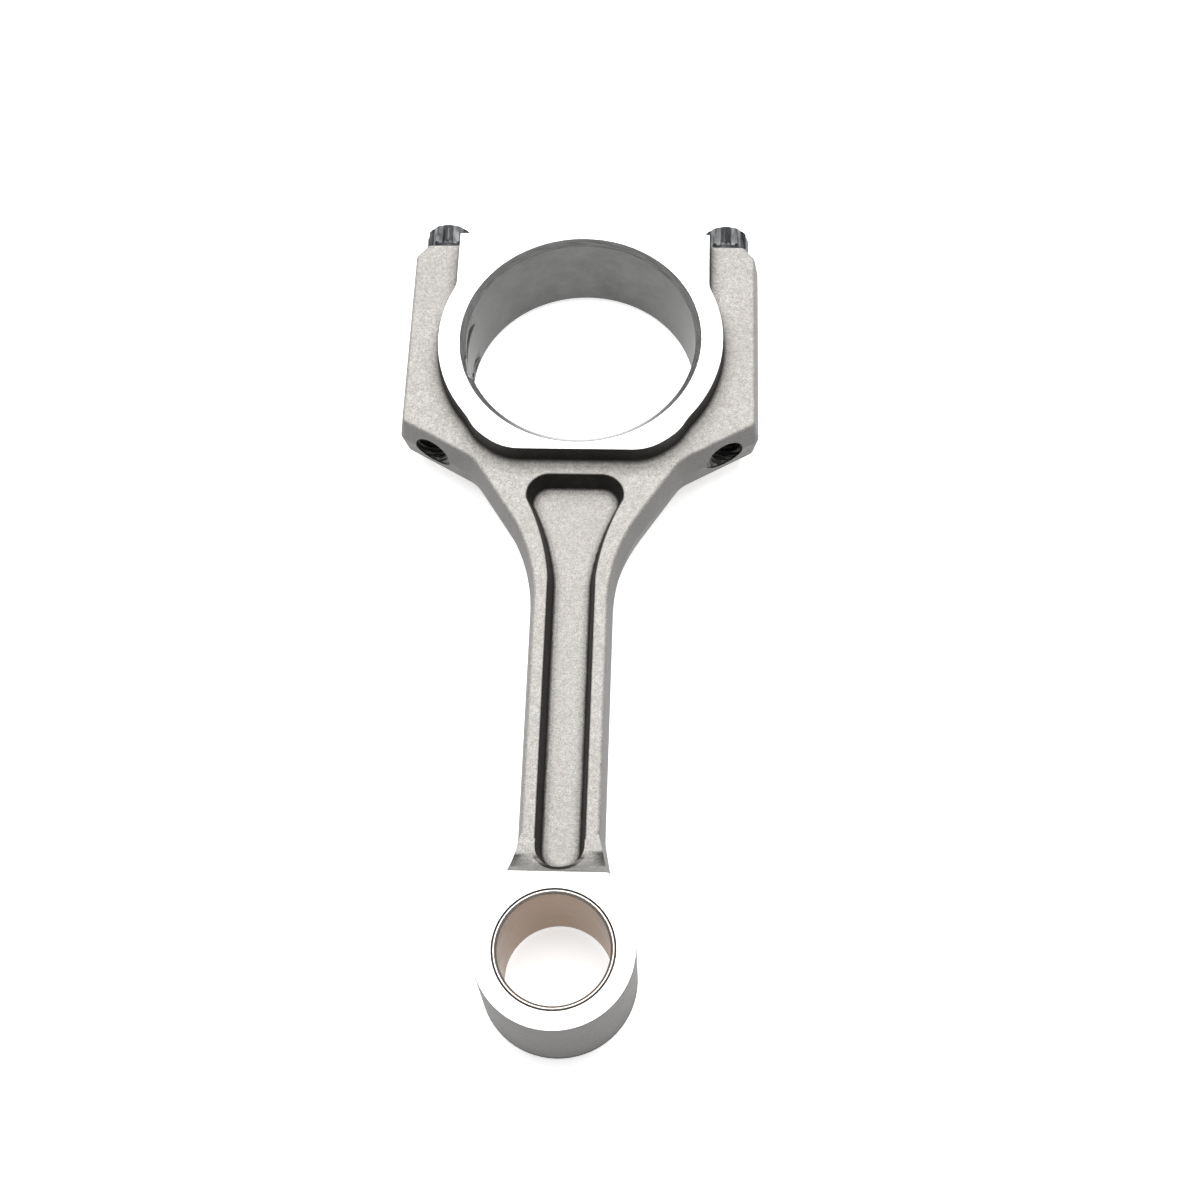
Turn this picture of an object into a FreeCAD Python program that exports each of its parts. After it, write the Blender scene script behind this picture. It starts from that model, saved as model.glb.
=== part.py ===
"""Connecting rod of a small car engine: forged I-beam rod with a fracture-split cap,
two 12-point cap bolts and a pressed-in bronze bush.

Frame, in millimetres: the origin is the centre of the big-end bore, halfway through its width.
+Z runs along the bore, +Y along the rod towards the cap, and the piston-pin end lies at -Y.
"""
import FreeCAD, Part
import math
import os

import Sketcher

# Driving dimensions in millimetres, angles in degrees.
DIMENSIONS = [
    ("centre_distance", 140.0),     # crankpin bore to piston-pin bore
    ("end_width", 22.8),            # both ends, across the machined thrust faces
    ("crank_bore_radius", 25.8),    # bore of the big end
    ("crank_bore_chamfer", 1.3),
    ("pin_bore_radius", 11.0),      # bore of the bush
    ("bush_outer_radius", 12.0),    # also the bore of the forged eye
    ("bush_chamfer", 0.45),
    ("eye_radius", 15.9),           # outside of the piston-pin end
    ("flange_thickness", 12.8),     # I-beam flanges, flare and bolt ears
    ("web_thickness", 3.0),         # floor between the two I-beam pockets
    ("forging_draft", 9.0),         # slope of the forged flanks, from the parting line
    ("forging_edge_round", 0.8),
    ("shank_half_width", 8.9),      # at the parting line
    ("shank_top", -52.0),           # where the flare's straight flank meets the shank
    ("shank_bottom", -115.0),       # where the shank starts to widen into the eye
    ("shank_top_blend", 40.0),
    ("shank_bottom_blend", 12.0),
    ("shoulder_x", 23.5),           # corner between flare and bolt shoulder
    ("shoulder_y", -29.25),
    ("shoulder_blend", 8.0),
    ("ear_half_width", 40.2),       # bolt ears, at the parting line
    ("ear_bottom", -19.65),
    ("ear_bottom_round", 1.5),
    ("ear_slope_start", 26.0),      # the ear's outer face leans in above this
    ("ear_slope_run", 2.0),
    ("ear_slope_height", 2.4),       # the face leans in by the run over this height
    ("ear_slope_blend", 1.5),
    ("seat_height", 28.5),          # machined seats under the bolt heads
    ("seat_cut_height", 6.0),
    ("crown_half_width", 18.0),     # raised middle of the cap, between the seats
    ("crown_radius", 33.7),
    ("boss_half_width", 28.8),      # flat sides of the thrust boss beside the bolts
    ("boss_radius", 32.0),
    ("boss_side_angle", 38.0),      # where the boss's round side ends, below the joint
    ("boss_waist_x", 23.52),        # shallow waist between the side and the corner lobe
    ("boss_waist_y", -22.3),
    ("boss_waist_radius", 18.6),
    ("lobe_blend_radius", 10.0),
    ("lobe_radius", 32.9),          # corner lobes over the flare
    ("lobe_start_angle", 50.0),
    ("lobe_end_angle", 54.0),
    ("boss_corner_radius", 11.7),
    ("boss_flat_half_width", 12.5),
    ("boss_bottom", -29.0),
    ("boss_side_blend", 5.0),
    ("boss_foot_round", 1.5),
    ("boss_corner_reach", 34.5),    # no part of the round boss lies further from the bore's axis
    ("neck_flange_half_width", 10.9),
    ("plate_end_y", -132.0),        # the flanges run on into the solid metal of the eye
    ("neck_face_y", -124.5),        # straight edge of the machined face of the pin end
    ("neck_face_half_width", 9.9),
    ("neck_corner_x", 11.1),
    ("neck_corner_y", -125.6),
    ("neck_corner_radius", 2.0),
    ("neck_side_radius", 60.0),
    ("neck_side_angle", 14.0),      # where the neck's side meets the eye's circle
    ("neck_start_y", -115.0),
    ("neck_start_half_width", 7.8),
    ("ramp_start_y", -116.0),       # the flange rises from here to the machined face
    ("pocket_half_width", 5.0),
    ("pocket_end_centre", -117.3),  # centre of the pocket's round lower end
    ("pocket_flare_start", -57.3),
    ("pocket_flare_radius", 55.0),
    ("pocket_flare_half_width", 10.4),
    ("pocket_flare_end", -38.7),
    ("pocket_corner_half_width", 5.8),
    ("pocket_corner_radius", 5.0),
    ("pocket_top", -32.4),
    ("pocket_draft", 12.0),
    ("pocket_floor_round", 1.2),
    ("tang_cutter_radius", 14.0),   # notches that locate the bearing shells' tangs
    ("tang_cutter_x", -13.0),
    ("tang_width", 3.0),
    ("tang_upper_z", 6.5),
    ("tang_lower_z", -7.0),
    ("bolt_x", 32.6),               # half the bolt spacing
    ("tapped_hole_radius", 4.0),    # M8 thread in the rod
    ("cap_hole_radius", 4.25),      # clearance hole in the cap
    ("bolt_thread_radius", 3.95),
    ("bolt_waist_radius", 3.5),
    ("bolt_tip_y", -17.0),
    ("bolt_tip_chamfer", 0.8),
    ("bolt_thread_top", -1.0),
    ("bolt_land_bottom", 22.0),     # full-diameter land under the head
    ("bolt_flange_radius", 5.7),
    ("bolt_flange_thickness", 1.5),
    ("bolt_cone_height", 0.6),
    ("bolt_head_top", 35.9),
    ("bolt_head_tip_radius", 5.5),
    ("bolt_head_root_radius", 4.75),
    ("bolt_head_chamfer", 0.7),
    ("bolt_head_bevel_slope", 0.6), # drop of the head's bevel per millimetre of radius
    ("cutter_overrun", 2.0),        # cutting outlines reach this far past the metal
]

HEAD_POINTS = 12
FAR = 200.0          # a length beyond the whole object
CORNER_REACH = 1.5   # an edge this near a named corner belongs to it
STEEPNESS = 0.3      # sideways run per millimetre of rise of the steepest drafted corner
PARTS_FOLDER = "parts"


def make_sheet(doc):
    """Spreadsheet of the driving dimensions, one alias per row."""
    sheet = doc.addObject("Spreadsheet::Sheet", "dims")
    for row, (alias, value) in enumerate(DIMENSIONS, start=1):
        sheet.set(f"A{row}", str(value))
        sheet.setAlias(f"A{row}", alias)
    doc.recompute()
    return sheet


def new_body(doc, label):
    body = doc.addObject("PartDesign::Body", label)
    body.Label = label
    return body


def origin_feature(body, role):
    return next(item for item in body.Origin.OriginFeatures if item.Role == role)


def new_sketch(body, name, plane="XY_Plane", offset=None):
    """Sketch on one of the body's origin planes, raised along its normal by an expression."""
    sketch = body.newObject("Sketcher::SketchObject", name)
    sketch.AttachmentSupport = [(origin_feature(body, plane), "")]
    sketch.MapMode = "FlatFace"
    if offset is not None:
        sketch.setExpression("AttachmentOffset.Base.z", offset)
    return sketch


def constrain(sketch, name, constraint, expression):
    sketch.renameConstraint(sketch.addConstraint(constraint), name)
    sketch.setExpression(f"Constraints.{name}", expression)


def arc_between(start, end, radius):
    """Minor arc from start to end; a positive radius turns left, a negative one right."""
    chord = end - start
    middle = (start + end) * 0.5
    height = math.sqrt(radius ** 2 - (chord.Length / 2) ** 2)
    left = FreeCAD.Vector(-chord.y, chord.x, 0).normalize()
    centre = middle + left * math.copysign(height, radius)
    first, last = (start, end) if radius > 0 else (end, start)
    angles = [math.atan2(p.y - centre.y, p.x - centre.x) for p in (first, last)]
    circle = Part.Circle(centre, FreeCAD.Vector(0, 0, 1), abs(radius))
    return Part.ArcOfCircle(circle, angles[0], angles[1])


def closed_outline(sketch, path, tag="p"):
    """Closed profile through the path's points, each held by expressions.

    A point is (x, y) after a straight edge, or (x, y, radius, turn) after an arc, where turn
    is +1 to the left and -1 to the right.
    """
    points = []
    for point in path:
        x, y = (float(sketch.evalExpression(text)) for text in point[:2])
        points.append(FreeCAD.Vector(x, y, 0))
    ends = []
    for index, point in enumerate(path):
        start, end = points[index - 1], points[index]
        if len(point) == 2:
            edge = sketch.addGeometry(Part.LineSegment(start, end))
            ends.append((edge, 1, 2))
        else:
            radius = float(sketch.evalExpression(point[2]))
            edge = sketch.addGeometry(arc_between(start, end, radius * point[3]))
            ends.append((edge, 1, 2) if point[3] > 0 else (edge, 2, 1))
    for index, point in enumerate(path):
        edge, _, end = ends[index]
        next_edge, next_start, _ = ends[(index + 1) % len(path)]
        sketch.addConstraint(Sketcher.Constraint("Coincident", edge, end, next_edge, next_start))
        at = points[index]
        constrain(sketch, f"{tag}x{index}", Sketcher.Constraint("DistanceX", edge, end, at.x), point[0])
        constrain(sketch, f"{tag}y{index}", Sketcher.Constraint("DistanceY", edge, end, at.y), point[1])
        if len(point) > 2:
            radius = float(sketch.evalExpression(point[2]))
            constrain(sketch, f"{tag}r{index}", Sketcher.Constraint("Radius", edge, radius), point[2])


def circle_outline(sketch, x, y, radius, tag="c"):
    """Circle whose centre and radius are expressions."""
    at = [float(sketch.evalExpression(text)) for text in (x, y, radius)]
    centre = FreeCAD.Vector(at[0], at[1], 0)
    edge = sketch.addGeometry(Part.Circle(centre, FreeCAD.Vector(0, 0, 1), at[2]))
    constrain(sketch, f"{tag}x", Sketcher.Constraint("DistanceX", edge, 3, at[0]), x)
    constrain(sketch, f"{tag}y", Sketcher.Constraint("DistanceY", edge, 3, at[1]), y)
    constrain(sketch, f"{tag}r", Sketcher.Constraint("Radius", edge, at[2]), radius)


def mirrored_path(right):
    """Outline symmetric about x = 0 from its right-hand points, given from top to bottom."""
    left = []
    for index in range(len(right) - 1, -1, -1):
        x, y = right[index][:2]
        arc_here = right[index + 1][2:] if index + 1 < len(right) else ()
        left.append((f"-({x})", y) + tuple(arc_here))
    return right + left


def add_feature(body, kind, name, profile=None, **properties):
    """Feature on the body's tip; text values are bound as expressions."""
    feature = body.newObject(kind, name)
    if profile is not None:
        feature.Profile = profile
    for key, value in properties.items():
        if isinstance(value, str) and value.startswith("="):
            feature.setExpression(key, value[1:])
        else:
            setattr(feature, key, value)
    body.Tip = feature
    body.Document.recompute()
    return feature


def symmetric_pad(body, name, sketch, length):
    return add_feature(body, "PartDesign::Pad", name, sketch, SideType="Symmetric", Length="=" + length)


def through_pocket(body, name, sketch):
    """Cut through everything on both sides of the sketch."""
    return add_feature(body, "PartDesign::Pocket", name, sketch, SideType="Two sides",
                       Type="ThroughAll", Type2="ThroughAll")


def edge_names(shape, wanted):
    """Names of the shape's edges for which wanted(edge) is true."""
    return [f"Edge{i}" for i, edge in enumerate(shape.Edges, start=1) if wanted(edge)]


def dress_up(body, kind, name, wanted, size):
    """Fillet or Chamfer on the edges of the tip that wanted() picks."""
    base = body.Tip
    names = edge_names(base.Shape, wanted)
    if not names:
        raise RuntimeError(f"{name}: no edge to work on")
    key = "Radius" if kind == "Fillet" else "Size"
    return add_feature(body, f"PartDesign::{kind}", name, Base=(base, names), **{key: "=" + size})


def is_vertical(edge):
    ends = [vertex.Point for vertex in edge.Vertexes]
    if len(ends) != 2 or ends[0].isEqual(ends[1], 1e-6):
        return False
    return math.hypot(ends[0].x - ends[1].x, ends[0].y - ends[1].y) < abs(ends[0].z - ends[1].z) * STEEPNESS


def lies_at_height(edge, height, tolerance=1e-3):
    box = edge.BoundBox
    return abs(abs(box.ZMin) - height) < tolerance and abs(abs(box.ZMax) - height) < tolerance


def near(edge, x, y):
    """True for an edge whose middle, mirrored to x > 0, is near (x, y) in plan."""
    middle = edge.BoundBox.Center
    return math.hypot(abs(middle.x) - abs(x), middle.y - y) < CORNER_REACH


def round_upright_corner(body, name, x, y, radius):
    """Round the upright edges at (x, y) and at its mirror image."""
    return dress_up(body, "Fillet", name, lambda edge: is_vertical(edge) and near(edge, x, y), radius)


def forged_plate(body, size):
    """Flanges, flare and bolt ears: one drafted plate either side of the parting line."""
    sketch = new_sketch(body, "plate_outline")
    ear_top = "dims.seat_height + dims.seat_cut_height"
    lean = f"dims.ear_slope_run * ({ear_top} - dims.ear_slope_start) / dims.ear_slope_height"
    right = [
        (f"dims.ear_half_width - {lean}", ear_top),
        ("dims.ear_half_width", "dims.ear_slope_start"),
        ("dims.ear_half_width", "dims.ear_bottom"),
        ("dims.shoulder_x", "dims.shoulder_y"),
        ("dims.shank_half_width", "dims.shank_top"),
        ("dims.shank_half_width", "dims.shank_bottom"),
        ("dims.neck_flange_half_width", "dims.neck_corner_y"),
        ("dims.neck_flange_half_width", "dims.plate_end_y"),
    ]
    closed_outline(sketch, mirrored_path(right))
    half = "=dims.flange_thickness / 2"
    add_feature(body, "PartDesign::Pad", "plate", sketch, SideType="Two sides", Length=half,
                Length2=half, TaperAngle="=-dims.forging_draft", TaperAngle2="=-dims.forging_draft")
    corners = [
        ("ear_slope", size["ear_half_width"], size["ear_slope_start"], "dims.ear_slope_blend"),
        ("ear_corner", size["ear_half_width"], size["ear_bottom"], "dims.ear_bottom_round"),
        ("shoulder_corner", size["shoulder_x"], size["shoulder_y"], "dims.shoulder_blend"),
        ("flare_corner", size["shank_half_width"], size["shank_top"], "dims.shank_top_blend"),
        ("neck_corner", size["shank_half_width"], size["shank_bottom"], "dims.shank_bottom_blend"),
    ]
    for name, x, y, radius in corners:
        round_upright_corner(body, name, x, y, radius)
    top = size["flange_thickness"] / 2
    dress_up(body, "Fillet", "plate_edges", lambda edge: lies_at_height(edge, top),
             "dims.forging_edge_round")


def polar_point(radius, angle):
    """Expressions for a point below the joint, at an angle from the +X direction."""
    return f"dims.{radius} * cos(dims.{angle})", f"-dims.{radius} * sin(dims.{angle})"


def thrust_boss(body, size):
    """Full-width ring around the crankpin bore, with metal on top for the cap's crown."""
    sketch = new_sketch(body, "boss_outline")
    side_top = "sqrt(dims.boss_radius ^ 2 - dims.boss_half_width ^ 2)"
    right = [
        ("dims.boss_half_width", "dims.seat_height + dims.seat_cut_height"),
        ("dims.boss_half_width", side_top),
        polar_point("boss_radius", "boss_side_angle") + ("dims.boss_radius", -1),
        ("dims.boss_waist_x", "dims.boss_waist_y", "dims.boss_waist_radius", 1),
        polar_point("lobe_radius", "lobe_start_angle") + ("dims.lobe_blend_radius", -1),
        polar_point("lobe_radius", "lobe_end_angle") + ("dims.lobe_radius", -1),
        ("dims.boss_flat_half_width", "dims.boss_bottom", "dims.boss_corner_radius", -1),
    ]
    closed_outline(sketch, mirrored_path(right))
    symmetric_pad(body, "boss", sketch, "dims.end_width")
    side_y = math.sqrt(size["boss_radius"] ** 2 - size["boss_half_width"] ** 2)
    round_upright_corner(body, "boss_side", size["boss_half_width"], side_y, "dims.boss_side_blend")


def boss_foot(body, size):
    """Fillet where the boss stands on the forged plate."""
    flange = size["flange_thickness"] / 2
    reach = size["boss_corner_reach"]

    def is_foot(edge):
        middle = edge.BoundBox.Center
        beside_bolt = abs(abs(middle.x) - size["boss_half_width"]) < 0.1 and middle.y > 0
        around_bore = math.hypot(middle.x, middle.y) < reach and middle.y > size["boss_bottom"] - 1
        return lies_at_height(edge, flange) and (beside_bolt or around_bore)

    dress_up(body, "Fillet", "boss_foot", is_foot, "dims.boss_foot_round")


def pin_end(body):
    """Eye of the piston-pin end and its neck, with the ramps up from the flanges."""
    sketch = new_sketch(body, "eye_outline")
    eye_y = "-dims.centre_distance"
    side = ("dims.eye_radius * cos(dims.neck_side_angle)",
            f"{eye_y} + dims.eye_radius * sin(dims.neck_side_angle)")
    right = [
        ("dims.neck_start_half_width", "dims.neck_start_y"),
        ("dims.neck_face_half_width", "dims.neck_face_y"),
        ("dims.neck_corner_x", "dims.neck_corner_y", "dims.neck_corner_radius", -1),
        side + ("dims.neck_side_radius", -1),
        ("dims.eye_radius", eye_y, "dims.eye_radius", -1),
    ]
    path = mirrored_path(right)
    path.insert(len(right), ("0", f"{eye_y} - dims.eye_radius", "dims.eye_radius", -1))
    path[len(right) + 1] += ("dims.eye_radius", -1)
    closed_outline(sketch, path)
    symmetric_pad(body, "eye", sketch, "dims.end_width")

    ramp = new_sketch(body, "ramp_outline", "YZ_Plane")
    face = "dims.end_width / 2"
    flange = "dims.flange_thickness / 2"
    radius = (f"((dims.ramp_start_y - dims.neck_face_y) ^ 2 + ({face} - {flange}) ^ 2)"
              f" / (2 * ({face} - {flange}))")
    for tag, sign, turn in (("u", "", 1), ("l", "-", -1)):
        closed_outline(ramp, [
            ("dims.neck_face_y", f"{sign}({face} + dims.cutter_overrun)"),
            ("dims.neck_face_y", f"{sign}({face})"),
            ("dims.ramp_start_y", f"{sign}({flange})", radius, turn),
            ("dims.neck_start_y + dims.cutter_overrun", f"{sign}({flange})"),
            ("dims.neck_start_y + dims.cutter_overrun", f"{sign}({face} + dims.cutter_overrun)"),
        ], tag)
    through_pocket(body, "ramps", ramp)


def machine_cap_top(body):
    """Flat seats for the bolt heads on both ears, and the round crown between them."""
    sketch = new_sketch(body, "cap_top_cut")
    outer = "(dims.ear_half_width + dims.cutter_overrun)"
    top = "dims.seat_height + 2 * dims.seat_cut_height"
    closed_outline(sketch, [
        (f"-{outer}", "dims.seat_height"),
        ("-dims.crown_half_width", "dims.seat_height"),
        ("dims.crown_half_width", "dims.seat_height", "dims.crown_radius", -1),
        (outer, "dims.seat_height"),
        (outer, top),
        (f"-{outer}", top),
    ])
    through_pocket(body, "cap_top", sketch)


def bore_ends(body, size):
    """Crankpin bore with its lead-in chamfers, and the eye's bore for the bush."""
    sketch = new_sketch(body, "crank_bore_circle")
    circle_outline(sketch, "0", "0", "dims.crank_bore_radius")
    through_pocket(body, "crank_bore", sketch)
    sketch = new_sketch(body, "eye_bore_circle")
    circle_outline(sketch, "0", "-dims.centre_distance", "dims.bush_outer_radius")
    through_pocket(body, "eye_bore", sketch)
    face = size["end_width"] / 2

    def is_bore_rim(edge):
        curve = edge.Curve
        return (lies_at_height(edge, face) and isinstance(curve, Part.Circle)
                and abs(curve.Radius - size["crank_bore_radius"]) < 1e-3)

    dress_up(body, "Chamfer", "crank_bore_chamfer", is_bore_rim, "dims.crank_bore_chamfer")


def beam_pockets(body, size):
    """Drafted pocket in each face of the shank, which leave the I-beam's web.

    The pocket's sizes hold at the flange. Its walls go on up to the machined face, so that
    the lower end cuts through the ramp too.
    """
    sketch = new_sketch(body, "pocket_outline", offset="dims.end_width / 2")
    spread = "(dims.end_width - dims.flange_thickness) / 2 * tan(dims.pocket_draft)"
    half_width = f"dims.pocket_half_width + {spread}"
    right = [
        ("dims.pocket_corner_half_width", f"dims.pocket_top + {spread}"),
        (f"dims.pocket_flare_half_width + {spread}", "dims.pocket_flare_end",
         f"dims.pocket_corner_radius + {spread}", -1),
        (half_width, "dims.pocket_flare_start", f"dims.pocket_flare_radius - {spread}", 1),
        (half_width, "dims.pocket_end_centre"),
    ]
    path = mirrored_path(right)
    path.insert(len(right), ("0", f"dims.pocket_end_centre - ({half_width})", half_width, -1))
    path[len(right) + 1] += (half_width, -1)
    closed_outline(sketch, path)
    pocket = add_feature(body, "PartDesign::Pocket", "pocket", sketch,
                         Length="=(dims.end_width - dims.web_thickness) / 2",
                         TaperAngle="=-dims.pocket_draft")
    add_feature(body, "PartDesign::Mirrored", "pockets", Originals=[pocket],
                MirrorPlane=(origin_feature(body, "XY_Plane"), [""]))
    floor = size["web_thickness"] / 2
    dress_up(body, "Fillet", "pocket_floor", lambda edge: lies_at_height(edge, floor),
             "dims.pocket_floor_round")


def tang_notches(body):
    """Two short slots across the joint, left by a disc cutter, for the bearing shells' tangs."""
    for name, centre in (("upper", "dims.tang_upper_z"), ("lower", "dims.tang_lower_z")):
        sketch = new_sketch(body, f"{name}_notch_circle", offset=centre)
        circle_outline(sketch, "dims.tang_cutter_x", "0", "dims.tang_cutter_radius")
        add_feature(body, "PartDesign::Pocket", f"{name}_notch", sketch, SideType="Symmetric",
                    Length="=dims.tang_width")


def bolt_holes(body):
    """Tapped holes below the joint plane and wider clearance holes above it."""
    for name, radius, towards_rod in (("tapped", "tapped_hole_radius", True),
                                      ("clearance", "cap_hole_radius", False)):
        sketch = new_sketch(body, f"{name}_hole_circles", "XZ_Plane")
        circle_outline(sketch, "dims.bolt_x", "0", f"dims.{radius}", "r")
        circle_outline(sketch, "-dims.bolt_x", "0", f"dims.{radius}", "l")
        add_feature(body, "PartDesign::Pocket", f"{name}_holes", sketch, Type="ThroughAll",
                    Reversed=towards_rod)


def make_forging(doc, size):
    """Whole machined forging, as it is before the cap is cracked off along the joint plane."""
    body = new_body(doc, "forging")
    forged_plate(body, size)
    thrust_boss(body, size)
    machine_cap_top(body)
    boss_foot(body, size)
    pin_end(body)
    beam_pockets(body, size)
    bore_ends(body, size)
    tang_notches(body)
    bolt_holes(body)
    return body


def split_forging(doc, forging, label, lower):
    """The half of the forging below or above the joint plane y = 0."""
    block = doc.addObject("Part::Box", f"{label}_half_space")
    block.Length = 2 * FAR
    block.Width = FAR
    block.Height = FAR
    block.Placement.Base = FreeCAD.Vector(-FAR, -FAR if lower else 0, -FAR / 2)
    half = doc.addObject("Part::Common", label)
    half.Base = forging
    half.Tool = block
    half.Label = label
    doc.recompute()
    return half


def make_bush(doc, size):
    """Bronze bush, flush with the faces of the eye and chamfered inside."""
    body = new_body(doc, "small_end_bush")
    sketch = new_sketch(body, "bush_ring")
    circle_outline(sketch, "0", "0", "dims.bush_outer_radius", "o")
    circle_outline(sketch, "0", "0", "dims.pin_bore_radius", "i")
    symmetric_pad(body, "bush_wall", sketch, "dims.end_width")

    def is_inner_rim(edge):
        curve = edge.Curve
        return isinstance(curve, Part.Circle) and abs(curve.Radius - size["pin_bore_radius"]) < 1e-3

    dress_up(body, "Chamfer", "bush_chamfer", is_inner_rim, "dims.bush_chamfer")
    body.setExpression("Placement.Base.y", "-dims.centre_distance")
    doc.recompute()
    return body


def make_bolt(doc, label, side):
    """Cap bolt: threaded end, waisted shank, round flange and 12-point head, along +Y."""
    body = new_body(doc, label)
    sketch = new_sketch(body, "bolt_profile")
    flange_top = "dims.seat_height + dims.bolt_flange_thickness"
    closed_outline(sketch, [
        ("0", "dims.bolt_tip_y"),
        ("dims.bolt_thread_radius - dims.bolt_tip_chamfer", "dims.bolt_tip_y"),
        ("dims.bolt_thread_radius", "dims.bolt_tip_y + dims.bolt_tip_chamfer"),
        ("dims.bolt_thread_radius", "dims.bolt_thread_top"),
        ("dims.bolt_waist_radius", "dims.bolt_thread_top + dims.bolt_tip_chamfer"),
        ("dims.bolt_waist_radius", "dims.bolt_land_bottom - dims.bolt_tip_chamfer"),
        ("dims.bolt_thread_radius", "dims.bolt_land_bottom"),
        ("dims.bolt_thread_radius", "dims.seat_height"),
        ("dims.bolt_flange_radius", "dims.seat_height"),
        ("dims.bolt_flange_radius", flange_top),
        ("dims.bolt_head_root_radius", f"{flange_top} + dims.bolt_cone_height"),
        ("0", f"{flange_top} + dims.bolt_cone_height"),
    ])
    axis = (origin_feature(body, "Y_Axis"), [""])
    add_feature(body, "PartDesign::Revolution", "bolt_turned", sketch, ReferenceAxis=axis, Angle=360)

    head = new_sketch(body, "head_star", "XZ_Plane")
    head.setExpression("AttachmentOffset.Base.z", f"-({flange_top})")
    star = []
    for corner in range(2 * HEAD_POINTS):
        radius = "dims.bolt_head_tip_radius" if corner % 2 else "dims.bolt_head_root_radius"
        angle = corner * 180 / HEAD_POINTS
        star.append((f"{radius} * cos({angle})", f"{radius} * sin({angle})"))
    closed_outline(head, star)
    add_feature(body, "PartDesign::Pad", "head_points", head, Reversed=True,
                Length=f"=dims.bolt_head_top - ({flange_top})")

    bevel = new_sketch(body, "head_bevel")
    inner = "dims.bolt_head_tip_radius - dims.bolt_head_chamfer"
    outer = "dims.bolt_head_tip_radius + dims.cutter_overrun"
    drop = "(dims.bolt_head_chamfer + dims.cutter_overrun) * dims.bolt_head_bevel_slope"
    above = "dims.bolt_head_top + dims.cutter_overrun"
    closed_outline(bevel, [
        (inner, above),
        (inner, "dims.bolt_head_top"),
        (outer, f"dims.bolt_head_top - {drop}"),
        (outer, above),
    ])
    add_feature(body, "PartDesign::Groove", "head_chamfer", bevel, ReferenceAxis=axis, Angle=360)
    body.setExpression("Placement.Base.x", f"{side} * dims.bolt_x")
    doc.recompute()
    return body


def check_document(doc, pieces):
    """Stop if a feature failed or a piece has no valid solid."""
    for item in doc.Objects:
        if "Invalid" in item.State or "Error" in item.State:
            raise RuntimeError(f"{item.Label} is {item.State}")
    for piece in pieces:
        shape = piece.Shape
        if shape.isNull() or not shape.isValid() or len(shape.Solids) != 1:
            raise RuntimeError(f"{piece.Label} is not one valid solid")
        print(f"{piece.Label}: {shape.Volume / 1000:.2f} cm3, {len(shape.Faces)} faces")


def main():
    doc = FreeCAD.newDocument("connecting_rod")
    make_sheet(doc)
    size = dict(DIMENSIONS)
    forging = make_forging(doc, size)
    pieces = [
        split_forging(doc, forging, "rod_body", lower=True),
        split_forging(doc, forging, "rod_cap", lower=False),
        make_bush(doc, size),
        make_bolt(doc, "left_cap_bolt", -1),
        make_bolt(doc, "right_cap_bolt", 1),
    ]
    doc.recompute()
    check_document(doc, pieces)
    os.makedirs(PARTS_FOLDER, exist_ok=True)
    for piece in pieces:
        piece.Shape.exportStep(f"{PARTS_FOLDER}/{piece.Label}.step")


main()
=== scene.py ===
"""Looks for the connecting rod: forged and machined steel, bronze bush and black cap bolts."""

import math

import bmesh
import bpy
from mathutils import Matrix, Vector
from mathutils.bvhtree import BVHTree


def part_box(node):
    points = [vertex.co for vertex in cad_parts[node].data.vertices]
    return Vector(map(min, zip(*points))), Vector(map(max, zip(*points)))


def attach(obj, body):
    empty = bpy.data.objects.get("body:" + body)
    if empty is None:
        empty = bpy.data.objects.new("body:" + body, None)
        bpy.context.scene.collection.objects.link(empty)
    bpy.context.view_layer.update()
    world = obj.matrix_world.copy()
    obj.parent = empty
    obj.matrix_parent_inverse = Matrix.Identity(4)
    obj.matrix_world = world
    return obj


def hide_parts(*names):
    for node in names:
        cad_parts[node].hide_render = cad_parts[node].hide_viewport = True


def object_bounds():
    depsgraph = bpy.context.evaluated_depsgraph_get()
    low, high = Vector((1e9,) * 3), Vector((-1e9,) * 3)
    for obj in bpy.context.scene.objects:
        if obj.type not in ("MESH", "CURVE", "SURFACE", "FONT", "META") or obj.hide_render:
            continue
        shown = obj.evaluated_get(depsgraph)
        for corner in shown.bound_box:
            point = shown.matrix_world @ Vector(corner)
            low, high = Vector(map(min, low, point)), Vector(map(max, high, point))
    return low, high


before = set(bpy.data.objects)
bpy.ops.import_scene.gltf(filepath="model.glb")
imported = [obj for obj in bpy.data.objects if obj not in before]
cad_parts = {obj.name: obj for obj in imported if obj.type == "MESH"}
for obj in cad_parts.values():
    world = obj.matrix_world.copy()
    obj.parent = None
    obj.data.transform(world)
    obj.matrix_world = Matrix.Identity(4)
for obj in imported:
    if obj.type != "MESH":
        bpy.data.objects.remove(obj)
cad_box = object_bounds()

MM = 0.001

# Sizes in millimetres, in the frame of the CAD model.
EYE_Y = -140.0             # axis of the piston-pin end
END_HALF = 11.4            # half the width across the machined end faces
FLANGE_HALF = 6.4          # half the thickness of the flanges and ears
CRANK_BORE = 25.8          # radius of the crankpin bore
CRANK_CHAMFER = 1.3
EYE_BORE = 12.0            # radius of the eye's bore
BUSH_BORE = 11.0
BOLT_X = 32.6              # axes of the bolts, to either side
BOLT_HOLE = 4.0            # radius of the bolt holes
SEAT_Y = 28.5              # seats under the bolt heads
SHOULDER_Y = -30.0         # just past the open lower ends of the bolt holes

# The shank's pocket.
POCKET_TOP = -32.4
POCKET_FLARE = -57.3       # above this the pocket widens
POCKET_END = -117.3        # centre of its round lower end
POCKET_HALF = 5.3          # half its width at the flange's face, below the flare
POCKET_REACH = 11.5        # half its width at the top
POCKET_DRAFT = 0.25        # how far its walls lean out for each millimetre of rise

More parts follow.
